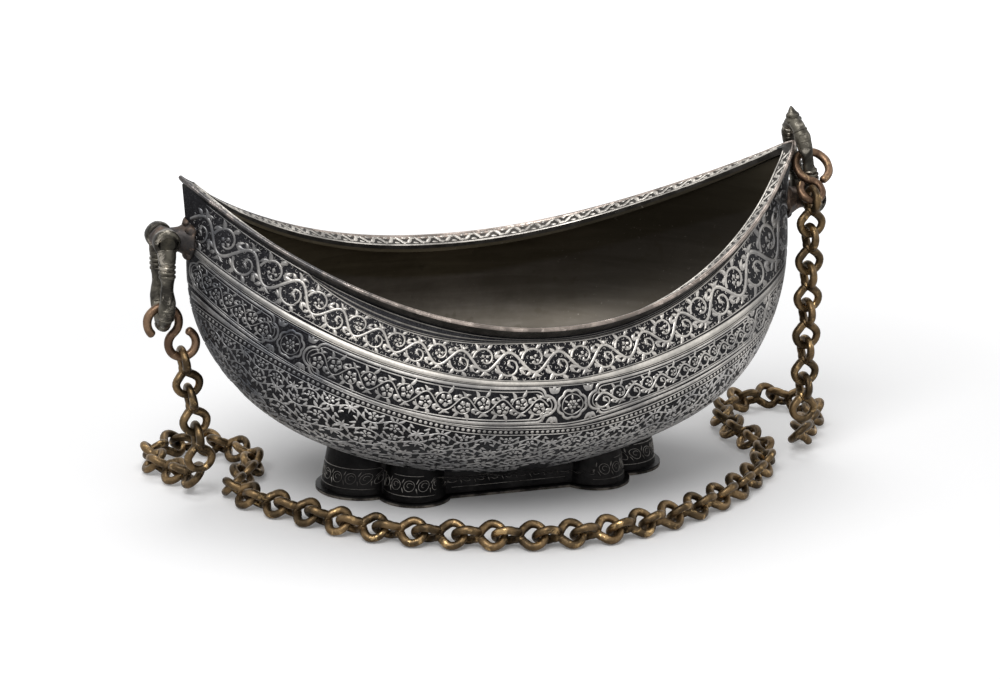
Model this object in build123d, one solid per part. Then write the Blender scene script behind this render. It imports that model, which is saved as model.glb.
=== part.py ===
"""Kashkul begging bowl: a boat-shaped tinned copper bowl on a lobed foot, with cast bails and a chain.

Millimetres, +Z up, +X towards one prow. The origin is on the table, under the middle of the bowl.
"""

import os
from math import acos, cos, degrees, pi, radians, sin

from build123d import *

# Bowl: the lens-shaped plan, widest at the beam heights, closing to a flat bottom inside the foot
HULL_HALF_LENGTH = 152.7
HULL_LENGTH_HEIGHT = 131.6
HULL_HALF_WIDTH = 93.6
HULL_WIDTH_HEIGHT = 63.5
KEEL_HEIGHT = 8.0
BOTTOM_FLAT = 1.8
STEM_ROUNDING = (2.51, 2.04)
SIDE_ROUNDING = (1.51, 1.90)
STEM_LEAN = 0.118
SIDE_LEAN = 0.471
LEAN_ONSET = 8.0
PROW_SHARPNESS = 0.27
SHARP_HEIGHT = 147.0
SHARP_POWER = 3.6
WALL = 1.6
RIM_MIDDLE_HEIGHT = 95.2
RIM_RISE = 59.7
SHEER_POWER = 2.1

# Rim flange: it clasps the top of the wall and flares out and up to the lip
LIP_REACH_AT_PROW = 4.8
LIP_REACH_AT_SIDE = 5.6
LIP_RISE = 4.0
LIP_THICKNESS = 1.9
RIM_CLASP = 3.0
RIM_BEAD = 0.4

# Foot ring: two end lobes, four side lobes and straight bars, tapering up to the bowl
FOOT_HALF_LENGTH = 86.0
FOOT_HALF_WIDTH = 36.0
END_LOBE_RADIUS = 19.0
SIDE_LOBE_RADIUS = 15.5
SIDE_LOBE_SPACING = 92.0
FOOT_BAR_HALF_WIDTH = 27.0
FOOT_WALL = 2.2
FOOT_TAPER = 9.0
FOOT_HEIGHT = 30.0
FOOT_LIP_REACH = 2.2
FOOT_LIP_THICKNESS = 1.8
SOLDER_GAP = 0.1

# Lugs, pins and bails at both prows
PIVOT_REACH = 163.5
PIVOT_HEIGHT = 129.5
KNUCKLE_RADIUS = 5.2
KNUCKLE_WIDTH = 9.0
LUG_NECK = (7.0, 8.4)
LUG_PLATE_HEIGHT = 17.0
LUG_PLATE_WIDTH = 13.0
LUG_PLATE_THICKNESS = 3.2
PIN_RADIUS = 2.0
PIN_HEAD_RADIUS = 3.1
PIN_HEAD_THICKNESS = 0.9
PIN_CLEARANCE = 0.05
SIDE_CLEARANCE = 0.3
EYE_RADIUS = 5.8
EYE_WIDTH = 5.6
BAIL_LENGTH = 40.0
BAIL_SPREAD = 8.9
BAIL_ARM_RADIUS = 3.0
BOW_RADIUS = 2.4
COLLAR_RADIUS = 3.7
COLLAR_THICKNESS = 1.5
COLLAR_COUNT = 3
COLLAR_PITCH = 2.4
FIRST_COLLAR = 9.8
CREST_HEIGHT = 2.6
STANDING_LEAN = 14.0

# Open hooks of round wire between each bail and the chain
HOOK_WIRE_RADIUS = 1.9
HOOK_SIDES = 8
HOOK_STEPS = 11
EYE_SWEEP = 290.0
LEFT_HOOK = dict(loop_radius=7.5, eye_radius=6.6, waist=-50.0, turn=-1, loop_sweep=272.0)
RIGHT_HOOK = dict(loop_radius=8.6, eye_radius=5.6, waist=-109.0, turn=1, loop_sweep=293.0)
RIGHT_HOOK_TILT = 45.0
RIGHT_HOOK_SEAT = 18.0
RIGHT_HOOK_OFFSET = 1.9
RIGHT_LINK_SEAT = (0.0, 2.0, 3.3)

# Chain: links bent from round wire to a figure of eight, with the two loops square to each other
LINK_WIRE_RADIUS = 1.8
LINK_LOOP_RADIUS = 5.7
LINK_CLEARANCE = 0.1
LYING_SLACK = 0.7
LINK_SIDES = 5
LINK_CORNERS = 8
LINK_PITCH = 4 * LINK_LOOP_RADIUS - 2 * LINK_WIRE_RADIUS - LINK_CLEARANCE
LINK_OVERLAP = 2 * LINK_WIRE_RADIUS + LINK_CLEARANCE
CORNER_RADIUS = LINK_LOOP_RADIUS / cos(pi / LINK_CORNERS)
LYING_ROLL = 45.0
LYING_HEIGHT = CORNER_RADIUS * sin(radians(LYING_ROLL)) + LINK_WIRE_RADIUS

# Route of the chain: each hanging end leans a little, and the rest lies about the foot in two heaps
LEFT_HANG = ((-151.0, 0.0, 54.5), (-147.5, 0.5, 36.0), (-144.5, 1.5, 10.0))
LEFT_HANG_LINKS = 3
RIGHT_HANG = ((156.8, -19.8, 100.0), (157.8, -19.2, 60.0), (158.6, -18.8, 10.0))
RIGHT_HANG_LINKS = 6
LEFT_HEAP_START = (-145.5, 8.5, 10.0)
RIGHT_HEAP_END = (158.5, -16.5, 13.0)
LEFT_HEAP_LINKS = 11
FRONT_LINKS = 16
LYING_ROUTE = (
    (-149.5, 25),
    (-157, 40),
    (-158, 56),
    (-148, 70),
    (-131, 72),
    (-117, 62),
    (-110, 46),
    (-111, 29),
    (-121, 14),
    (-130.5, 0),
    (-128, -15),
    (-117, -30),
    (-105, -48),
    (-93, -65),
    (-75, -80),
    (-57, -90.5),
    (-36, -98),
    (-12, -105),
    (12, -107),
    (33, -103.5),
    (52, -97),
    (70, -88),
    (87, -78),
    (102, -67),
    (117, -52),
    (132, -34),
    (140, -14),
    (138, 8),
    (136, 28),
    (143, 46),
    (157, 60),
    (174, 65),
    (189, 58),
    (194, 42),
    (187, 25),
    (174, 11),
    (165, -4),
)


def lean(height, slope):
    """How far the wall leans in at a height above its widest line."""
    return slope * height**2 / (height + LEAN_ONSET) if height > 0 else 0.0


def rounded(z, widest, full, rounding, slope):
    """Half size of the hull at height z: a rounded bilge below the widest line, leaning in above."""
    depth = min(max((widest - z) / (widest - KEEL_HEIGHT), 0.0), 1.0)
    swell = (1 - depth ** rounding[0]) ** (1 / rounding[1])
    return full * swell - lean(z - widest, slope)


def half_length(z):
    return rounded(z, HULL_LENGTH_HEIGHT, HULL_HALF_LENGTH, STEM_ROUNDING, STEM_LEAN)


def half_width(z):
    return rounded(z, HULL_WIDTH_HEIGHT, HULL_HALF_WIDTH, SIDE_ROUNDING, SIDE_LEAN)


def sharpness(z):
    """Power of the waterline: half is an ellipse, low down, and above it the prows sharpen."""
    return 0.5 + PROW_SHARPNESS * min(max(z / SHARP_HEIGHT, 0.0), 1.0) ** SHARP_POWER


def waterline_point(turn, z, grow, side=-1, depth_shift=0.0):
    """Point of the hull's waterline at height z, turned from -90 to 90 degrees between the prows."""
    level = z - depth_shift
    x = (half_length(level) + grow) * sin(turn)
    y = (half_width(level) + grow) * abs(cos(turn)) ** (2 * sharpness(level))
    return Vector(x, side * y, z)


def waterline(z, grow, depth_shift=0.0, stations=12):
    """Closed waterline of two smooth sides that meet at the prows."""
    turns = [radians(-90 + 180 * i / stations) for i in range(stations + 1)]
    near = Spline([waterline_point(t, z, grow, -1, depth_shift) for t in turns])
    far = Spline([waterline_point(t, z, grow, 1, depth_shift) for t in reversed(turns)])
    return Wire([near, far])


def hull_solid(grow=0.0, depth_shift=0.0):
    """The hull's outer form, or with a negative growth its hollow, up to above the prows."""
    floor = KEEL_HEIGHT + BOTTOM_FLAT + depth_shift
    top = RIM_MIDDLE_HEIGHT + RIM_RISE + 4 * LIP_RISE
    shares = (0.0, 0.02, 0.065, 0.15, 0.28, 0.44, 0.60, 0.78, 1.0)
    levels = [floor + share * (top - floor) for share in shares]
    return Solid.make_loft([waterline(z, grow, depth_shift) for z in levels])


def rim_height(turn):
    """Height of the top of the wall: lowest amidships, rising to both prows."""
    return RIM_MIDDLE_HEIGHT + RIM_RISE * abs(sin(turn)) ** SHEER_POWER


def rim_point(turn, side, reach_x, reach_y, rise):
    """Point that lies off the top of the wall by a reach in length and width and by a rise."""
    z = rim_height(turn)
    x = (half_length(z) + reach_x) * sin(turn)
    y = (half_width(z) + reach_y) * abs(cos(turn)) ** (2 * sharpness(z))
    return Vector(x, side * y, z + rise)


def above_rim():
    """Everything above the top of the wall, as a block with a saddle-shaped underside."""
    turns = [radians(-90 + 10 * i) for i in range(19)]
    line = [rim_point(t, 1, 0, 0, -RIM_BEAD) for t in turns]
    reach = HULL_HALF_LENGTH * 1.2
    high = RIM_MIDDLE_HEIGHT + RIM_RISE + 8 * LIP_RISE
    ends = line[0].Z + 0.02 * RIM_RISE
    saddle = Spline([Vector(p.X, 0, p.Z) for p in line])
    first, last = Vector(line[0].X, 0, line[0].Z), Vector(line[-1].X, 0, line[-1].Z)
    corners = [last, (reach, 0, ends), (reach, 0, high), (-reach, 0, high), (-reach, 0, ends), first]
    outline = Wire([saddle, *Polyline(*corners).edges()])
    return extrude(Face(outline), HULL_HALF_WIDTH * 1.3, dir=(0, 1, 0), both=True)


def rim_flange(side, stations=16):
    """Half of the flange, swept from prow to prow as a five-sided section and mitred at the prows."""
    inside = -WALL - RIM_BEAD
    section = (
        (inside, inside, -RIM_CLASP),
        (inside, inside, RIM_BEAD),
        (LIP_REACH_AT_PROW, LIP_REACH_AT_SIDE, LIP_RISE),
        (LIP_REACH_AT_PROW, LIP_REACH_AT_SIDE, LIP_RISE - LIP_THICKNESS),
        (RIM_BEAD, RIM_BEAD, -RIM_CLASP),
    )
    rings = []
    for i in range(stations + 1):
        turn = radians(-90 + 180 * i / stations)
        ring = [rim_point(turn, side, *corner) for corner in section]
        rings.append(Wire.make_polygon(ring, close=True))
    return Solid.make_loft(rings)


def bowl():
    """Raised bowl: hull less its hollow, cut to the sheer and closed by the flared rim."""
    shell = hull_solid() - above_rim() - hull_solid(-WALL, WALL)
    return shell + rim_flange(-1) + rim_flange(1)


def foot_outline(grow):
    """Plan of the foot: circles for the lobes, joined by a bar and a waist."""
    end = FOOT_HALF_LENGTH - END_LOBE_RADIUS
    out = FOOT_HALF_WIDTH - SIDE_LOBE_RADIUS
    plan = Rectangle(SIDE_LOBE_SPACING, 2 * (FOOT_BAR_HALF_WIDTH + grow))
    plan += Rectangle(2 * end, 1.5 * (END_LOBE_RADIUS + grow))
    for sx in (-1, 1):
        plan += Pos(sx * end, 0) * Circle(END_LOBE_RADIUS + grow)
        for sy in (-1, 1):
            plan += Pos(sx * SIDE_LOBE_SPACING / 2, sy * out) * Circle(SIDE_LOBE_RADIUS + grow)
    return plan


def foot_ring():
    """Hollow lobed foot with an out-turned lip, its top cut to seat against the hull."""
    walls = extrude(foot_outline(0), FOOT_HEIGHT, taper=FOOT_TAPER)
    lip = extrude(foot_outline(FOOT_LIP_REACH), FOOT_LIP_THICKNESS)
    hollow = extrude(foot_outline(-FOOT_WALL), FOOT_HEIGHT, taper=FOOT_TAPER)
    return walls + lip - hollow - hull_solid(SOLDER_GAP, -SOLDER_GAP)


def tube(points, radius, sides, closed=False):
    """Wire of flat faces along straight runs, mitred at every corner."""
    spots = [Vector(*p) for p in points]
    count = len(spots)
    runs = [(spots[(i + 1) % count] - spots[i]).normalized() for i in range(count if closed else count - 1)]
    first = runs[0]
    other = Vector(0, 0, 1) if abs(first.Z) < 0.9 else Vector(1, 0, 0)
    across = first.cross(other).normalized()
    around = first.cross(across)
    corners = [across * (radius * cos(2 * pi * k / sides)) for k in range(sides)]
    corners = [c + around * (radius * sin(2 * pi * k / sides)) for k, c in enumerate(corners)]
    rings = []
    for i, spot in enumerate(spots):
        before = runs[i - 1] if closed or i > 0 else runs[0]
        after = runs[i % len(runs)] if closed or i < count - 1 else runs[-1]
        mitre = (before + after).normalized()
        if i == 0:
            ahead = after
            ring = [spot + c - ahead * (c.dot(mitre) / ahead.dot(mitre)) for c in corners]
        else:
            ring = []
            for previous in rings[-1]:
                reach = (spot - previous).dot(mitre) / before.dot(mitre)
                ring.append(previous + before * reach)
        rings.append(ring)
    faces = []
    spans = [(i, i + 1) for i in range(count - 1)] + ([(count - 1, 0)] if closed else [])
    for low, high in spans:
        for k in range(sides):
            m = (k + 1) % sides
            quad = [rings[low][k], rings[low][m], rings[high][m], rings[high][k]]
            faces.append(Face(Wire.make_polygon(quad, close=True)))
    if not closed:
        faces.append(Face(Wire.make_polygon(rings[0], close=True)))
        faces.append(Face(Wire.make_polygon(rings[-1], close=True)))
    return Solid(Shell(faces))


def arc_points(centre, radius, start, sweep, steps):
    """Points in the XZ plane along an arc, with its angles in degrees from +X towards +Z."""
    angles = [radians(start + sweep * i / steps) for i in range(steps + 1)]
    return [(centre[0] + radius * cos(a), 0, centre[1] + radius * sin(a)) for a in angles]


def eye_offset(loop_radius, eye_radius, waist):
    """Centre of a hook's eye from the centre of its loop, with the waist's direction in degrees."""
    reach = loop_radius + eye_radius
    return Vector(reach * cos(radians(waist)), 0, reach * sin(radians(waist)))


def hook(loop_radius, eye_radius, waist, turn, loop_sweep):
    """Open S-hook about the centre of its loop: the loop runs to the waist, the eye on from it."""
    eye = eye_offset(loop_radius, eye_radius, waist)
    loop = arc_points((0, 0), loop_radius, waist - turn * loop_sweep, turn * loop_sweep, HOOK_STEPS)
    tail = arc_points((eye.X, eye.Z), eye_radius, waist + 180, -turn * EYE_SWEEP, HOOK_STEPS)
    return tube(loop[:-1] + tail, HOOK_WIRE_RADIUS, HOOK_SIDES)


def bail_station(share):
    """Centre and radius of the bail's arm from the eye, at 0, to the middle of the bow, at 1."""
    eye_centre = KNUCKLE_WIDTH / 2 + SIDE_CLEARANCE + EYE_WIDTH / 2
    if share < 0.55:
        t = share / 0.55
        return eye_centre + (BAIL_SPREAD - eye_centre) * sin(pi / 2 * t), 0.62 * BAIL_LENGTH * t
    t = (share - 0.55) / 0.45 * pi / 2
    return BAIL_SPREAD * cos(t), BAIL_LENGTH * (0.62 + 0.38 * sin(t))


def bail_arm(side):
    """One arm, lofted through round sections and cut square at the middle of the bow."""
    shares = (0.10, 0.30, 0.50, 0.68, 0.84, 0.94, 1.0)
    sections = []
    for share in shares:
        y, z = bail_station(share)
        y1, z1 = bail_station(min(share + 0.01, 1.0))
        y0, z0 = bail_station(share - 0.01)
        along = Vector(0, side * (y1 - y0), z1 - z0) if share < 1 else Vector(0, -side, 0)
        swell = BAIL_ARM_RADIUS + (BOW_RADIUS - BAIL_ARM_RADIUS) * max(0.0, (share - 0.5) / 0.5)
        plane = Plane(origin=(0, side * y, z), x_dir=(1, 0, 0), z_dir=along.normalized())
        sections.append(plane * RegularPolygon(swell, 10))
    return loft(sections)


def bail():
    """Cast bail standing on its pivot axis: two eyes, collars, swelling arms, pointed crest."""
    inner = KNUCKLE_WIDTH / 2 + SIDE_CLEARANCE
    body = bail_arm(1) + bail_arm(-1)
    for side in (-1, 1):
        face = Plane(origin=(0, side * inner, 0), z_dir=(0, side, 0))
        body += extrude(face * Circle(EYE_RADIUS), EYE_WIDTH)
        for i in range(COLLAR_COUNT):
            z = FIRST_COLLAR + i * COLLAR_PITCH
            share = 0.55 * z / (0.62 * BAIL_LENGTH)
            collar = Plane(origin=(0, side * bail_station(share)[0], z), z_dir=(0, 0, 1))
            body += extrude(collar * RegularPolygon(COLLAR_RADIUS, 12), COLLAR_THICKNESS)
    crest = Cone(BOW_RADIUS, 0.4 * BOW_RADIUS, CREST_HEIGHT + BOW_RADIUS)
    body += Pos(0, 0, BAIL_LENGTH + (CREST_HEIGHT + BOW_RADIUS) / 2) * crest
    ridge = Cylinder(BOW_RADIUS * 1.35, COLLAR_THICKNESS)
    body += Pos(0, 0, BAIL_LENGTH + BOW_RADIUS) * ridge
    bore = Cylinder(PIN_RADIUS + PIN_CLEARANCE, 4 * (inner + EYE_WIDTH), rotation=(90, 0, 0))
    return body - bore


def pin():
    """Pivot pin with a low head on each side."""
    half = KNUCKLE_WIDTH / 2 + 2 * SIDE_CLEARANCE + EYE_WIDTH
    shank = Cylinder(PIN_RADIUS, 2 * half + PIN_HEAD_THICKNESS, rotation=(90, 0, 0))
    head = Cylinder(PIN_HEAD_RADIUS, PIN_HEAD_THICKNESS, rotation=(90, 0, 0))
    offset = half + PIN_HEAD_THICKNESS / 2
    return shank + Pos(0, offset, 0) * head + Pos(0, -offset, 0) * head


def lug(side):
    """Cast lug: a plate saddled on the prow, a neck and the knuckle that carries the pin."""
    prow = half_length(PIVOT_HEIGHT)
    plate_depth = LUG_PLATE_WIDTH
    plate_x = side * (prow + LUG_PLATE_THICKNESS - plate_depth / 2)
    plate = Pos(plate_x, 0, PIVOT_HEIGHT) * Box(plate_depth, LUG_PLATE_WIDTH, LUG_PLATE_HEIGHT)
    plate = fillet(plate.edges().filter_by(Axis.X), 3.0)
    neck_length = PIVOT_REACH - prow
    neck_x = side * (prow + neck_length / 2)
    neck = Pos(neck_x, 0, PIVOT_HEIGHT) * Box(neck_length, *LUG_NECK)
    knuckle = Cylinder(KNUCKLE_RADIUS, KNUCKLE_WIDTH, rotation=(90, 0, 0))
    body = plate + neck + Pos(side * PIVOT_REACH, 0, PIVOT_HEIGHT) * knuckle
    bore = Cylinder(PIN_RADIUS + PIN_CLEARANCE, 2 * KNUCKLE_WIDTH, rotation=(90, 0, 0))
    body -= Pos(side * PIVOT_REACH, 0, PIVOT_HEIGHT) * bore
    return body - hull_solid(SOLDER_GAP)


def link_loop(sign):
    """One loop of a link, in the XZ plane above the waist or in the YZ plane below it."""
    points = []
    for k in range(LINK_CORNERS):
        a = 2 * pi * (k + 0.5) / LINK_CORNERS
        out, up = CORNER_RADIUS * sin(a), LINK_LOOP_RADIUS - CORNER_RADIUS * cos(a)
        points.append((out, 0, up) if sign > 0 else (0, out, -up))
    return tube(points, LINK_WIRE_RADIUS, LINK_SIDES, closed=True)


def make_link():
    """Link centred on its waist and standing along Z."""
    return link_loop(1) + link_loop(-1)


def walk(route, pitch):
    """Joints of the chain at an even pitch along a route of straight runs."""
    spots = [Vector(*p) for p in route]
    here = spots[0]
    joints = [here]
    leg = 0
    while leg < len(spots) - 1:
        run, back = spots[leg + 1] - spots[leg], spots[leg] - here
        square, middle = run.dot(run), run.dot(back)
        root = middle**2 - square * (back.dot(back) - pitch**2)
        share = (root**0.5 - middle) / square if root >= 0 else 2.0
        if share > 1:
            leg += 1
            continue
        here = spots[leg] + run * share
        joints.append(here)
    return joints


def laid_links(link, joints, sideways, roll):
    """Links from joint to joint. Each turns with the bends, without twist, from the first one's roll."""
    laid = []
    before = None
    for start, end in zip(joints, joints[1:]):
        along = (end - start).normalized()
        if before is None:
            sideways = sideways.rotate(Axis((0, 0, 0), along), roll)
        elif before.cross(along).length > 0:
            bend = degrees(acos(min(before.dot(along), 1.0)))
            sideways = sideways.rotate(Axis((0, 0, 0), before.cross(along)), bend)
        sideways = (sideways - along * sideways.dot(along)).normalized()
        plane = Plane(origin=(start + end) * 0.5, x_dir=sideways, z_dir=along)
        laid.append(plane.location * link)
        before = along
    return laid


def pivot(side):
    return Vector(side * PIVOT_REACH, 0, PIVOT_HEIGHT)


def left_hook_centre():
    """Centre of the left hook's loop, round the bow of the hanging bail."""
    return pivot(-1) - Vector(0, 0, BAIL_LENGTH)


def right_hook_centre():
    """Centre of the right hook's loop, round the near arm of the leaning bail."""
    turn = radians(STANDING_LEAN)
    arm = bail_station(RIGHT_HOOK_SEAT / BAIL_LENGTH)[0]
    up = Vector(-sin(turn), 0, cos(turn)) * RIGHT_HOOK_SEAT
    return pivot(1) + up + Vector(RIGHT_HOOK_OFFSET, -arm, 0)


def left_hang_start():
    """First joint of the left hanging chain, in the eye of its hook."""
    shape = {key: LEFT_HOOK[key] for key in ("loop_radius", "eye_radius", "waist")}
    seat = LINK_OVERLAP / 2 + HOOK_WIRE_RADIUS - LINK_WIRE_RADIUS - LEFT_HOOK["eye_radius"]
    return left_hook_centre() + eye_offset(**shape) + Vector(0, 0, seat)


def right_hang_start():
    """First joint of the right hanging chain, in the eye of its tilted hook."""
    shape = {key: RIGHT_HOOK[key] for key in ("loop_radius", "eye_radius", "waist")}
    low = eye_offset(**shape) - Vector(0, 0, RIGHT_HOOK["eye_radius"])
    return right_hook_centre() + low.rotate(Axis.X, -RIGHT_HOOK_TILT) + Vector(*RIGHT_LINK_SEAT)


def hanging(link, start, route, count):
    joints = walk([tuple(start), *route], LINK_PITCH)[: count + 1]
    return laid_links(link, joints, Vector(1, 0, 0), 0)


def lying(link):
    """Links of the heaps and of the run along the front, each lying on one edge of both loops."""
    level = [(x, y, LYING_HEIGHT) for x, y in LYING_ROUTE]
    joints = walk([LEFT_HEAP_START, *level, RIGHT_HEAP_END], LINK_PITCH - LYING_SLACK)
    sideways = (joints[1] - joints[0]).cross(Vector(0, 0, 1)).normalized()
    return laid_links(link, joints, sideways, LYING_ROLL)


def node(name, shape):
    os.makedirs("parts", exist_ok=True)
    export_step(shape, f"parts/{name}.step")


def main():
    node("bowl", bowl())
    node("foot_ring", foot_ring())
    standing = bail()
    pivot_pin = pin()
    for name, side, turn in (("left", -1, 180.0), ("right", 1, -STANDING_LEAN)):
        at = Location(pivot(side))
        node(f"lug_{name}", lug(side))
        node(f"pivot_pin_{name}", at * pivot_pin)
        node(f"bail_{name}", at * Rot(0, turn, 0) * standing)
    node("hook_left", Location(left_hook_centre()) * hook(**LEFT_HOOK))
    tilted = Location(right_hook_centre()) * Rot(-RIGHT_HOOK_TILT, 0, 0)
    node("hook_right", tilted * hook(**RIGHT_HOOK))
    link = make_link()
    for i, piece in enumerate(hanging(link, left_hang_start(), LEFT_HANG, LEFT_HANG_LINKS), 1):
        node(f"link_left_{i}", piece)
    for i, piece in enumerate(hanging(link, right_hang_start(), RIGHT_HANG, RIGHT_HANG_LINKS), 1):
        node(f"link_right_{i}", piece)
    links = lying(link)
    front = LEFT_HEAP_LINKS + FRONT_LINKS
    node("heap_left", Compound(children=links[:LEFT_HEAP_LINKS]))
    node("chain_front", Compound(children=links[LEFT_HEAP_LINKS:front]))
    node("heap_right", Compound(children=links[front:]))


main()
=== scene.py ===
"""Visual model of the kashkul: chased relief on bowl and foot, smooth castings, hooks and chain, and the studio.

Lengths inside the script are in millimetres and turn into metres when a mesh is made.
"""

from math import cos, pi, radians, sin

import bpy
import numpy as np
from mathutils import Matrix, Vector
from mathutils.bvhtree import BVHTree


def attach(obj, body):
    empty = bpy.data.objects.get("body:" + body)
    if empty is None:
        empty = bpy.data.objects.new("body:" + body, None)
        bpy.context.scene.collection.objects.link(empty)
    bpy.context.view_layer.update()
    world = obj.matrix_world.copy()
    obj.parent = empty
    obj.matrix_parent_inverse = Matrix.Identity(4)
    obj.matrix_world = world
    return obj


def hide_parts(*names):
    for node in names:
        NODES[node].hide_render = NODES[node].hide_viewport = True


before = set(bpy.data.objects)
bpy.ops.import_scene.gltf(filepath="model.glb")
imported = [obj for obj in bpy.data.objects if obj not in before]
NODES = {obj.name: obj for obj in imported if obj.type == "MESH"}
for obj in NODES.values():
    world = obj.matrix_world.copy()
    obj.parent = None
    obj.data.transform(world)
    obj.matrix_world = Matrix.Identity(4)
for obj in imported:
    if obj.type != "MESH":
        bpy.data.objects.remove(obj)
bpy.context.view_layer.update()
MM = 0.001
ROOT = "bowl_and_foot"
rng = np.random.default_rng(7)


# Camera and studio


def camera():
    """Camera at the photo's angle, with its slight roll."""
    turn, rise, roll = radians(-20.5), radians(16.5), radians(1.5)
    back = np.array((sin(turn) * cos(rise), -cos(turn) * cos(rise), sin(rise)))
    right = np.array((cos(turn), sin(turn), 0.0))
    up = np.cross(back, right)
    across = cos(roll) * right + sin(roll) * up
    over = -sin(roll) * right + cos(roll) * up
    data = bpy.data.cameras.new("camera")
    data.lens = 111.78
    data.sensor_width = 36.0
    data.clip_end = 20.0
    seen = bpy.data.objects.new("camera", data)
    bpy.context.scene.collection.objects.link(seen)
    place = Matrix.Identity(4)
    for row in range(3):
        place[row][0], place[row][1], place[row][2] = across[row], over[row], back[row]
        place[row][3] = (-0.50038, -1.34715, 0.49422)[row]
    seen.matrix_world = place
    bpy.context.scene.camera = seen


def lamp(name, place, target, size, watts):
    data = bpy.data.lights.new(name, "AREA")
    data.shape = "DISK"
    data.size = size
    data.energy = watts
    light = bpy.data.objects.new(name, data)
    bpy.context.scene.collection.objects.link(light)
    light.location = place
    light.rotation_euler = (Vector(target) - Vector(place)).to_track_quat("-Z", "Y").to_euler()


class Graph:
    """Node material with short calls for its nodes. Colours are linear."""

    def __init__(self, name):
        self.material = bpy.data.materials.new(name)
        self.material.use_nodes = True
        self.tree = self.material.node_tree
        self.tree.nodes.clear()
        self.out = self.add("ShaderNodeOutputMaterial")

    def add(self, kind, **settings):
        made = self.tree.nodes.new(kind)
        for key, value in settings.items():
            setattr(made, key, value)
        return made

    def feed(self, socket, value):
        if isinstance(value, bpy.types.NodeSocket):
            self.tree.links.new(value, socket)
        elif isinstance(value, (tuple, list)) and len(value) == 3 and socket.type == "RGBA":
            socket.default_value = (*value, 1.0)
        else:
            socket.default_value = value

    def math(self, operation, *values):
        made = self.add("ShaderNodeMath", operation=operation)
        for socket, value in zip(made.inputs, values):
            self.feed(socket, value)
        return made.outputs[0]

    def between(self, value, low, high, to_low=0.0, to_high=1.0):
        """Smooth step of a value from one number to another."""
        made = self.add("ShaderNodeMapRange", interpolation_type="SMOOTHSTEP")
        for key, number in zip((1, 2, 3, 4), (low, high, to_low, to_high)):
            self.feed(made.inputs[key], number)
        self.feed(made.inputs[0], value)
        return made.outputs[0]

    def mix(self, share, first, second, blend="MIX"):
        made = self.add("ShaderNodeMix", data_type="RGBA", blend_type=blend)
        self.feed(made.inputs[0], share)
        self.feed(made.inputs[6], first)
        self.feed(made.inputs[7], second)
        return made.outputs[2]

    def place(self):
        made = self.add("ShaderNodeTexCoord")
        return made.outputs["Object"]

    def stretched(self, scale):
        made = self.add("ShaderNodeMapping")
        self.feed(made.inputs["Vector"], self.place())
        made.inputs["Scale"].default_value = scale
        return made.outputs[0]

    def noise(self, scale, detail=4.0, rough=0.6, warp=0.0, place=None):
        made = self.add("ShaderNodeTexNoise")
        self.feed(made.inputs["Vector"], place or self.place())
        made.inputs["Scale"].default_value = scale
        made.inputs["Detail"].default_value = detail
        made.inputs["Roughness"].default_value = rough
        made.inputs["Distortion"].default_value = warp
        return made.outputs[0]

    def cells(self, scale, feature="F1"):
        made = self.add("ShaderNodeTexVoronoi", feature=feature)
        self.feed(made.inputs["Vector"], self.place())
        made.inputs["Scale"].default_value = scale
        return made.outputs["Distance"]

    def bump(self, height, strength, distance, under=None):
        made = self.add("ShaderNodeBump")
        made.inputs["Strength"].default_value = strength
        made.inputs["Distance"].default_value = distance
        self.feed(made.inputs["Height"], height)
        if under is not None:
            self.feed(made.inputs["Normal"], under)
        return made.outputs[0]

    def metal(self, colour, rough, normal=None, metallic=1.0):
        made = self.add("ShaderNodeBsdfPrincipled")
        self.feed(made.inputs["Base Color"], colour)
        self.feed(made.inputs["Roughness"], rough)
        self.feed(made.inputs["Metallic"], metallic)
        if normal is not None:
            self.feed(made.inputs["Normal"], normal)
        self.tree.links.new(made.outputs[0], self.out.inputs[0])
        return self.material


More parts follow.
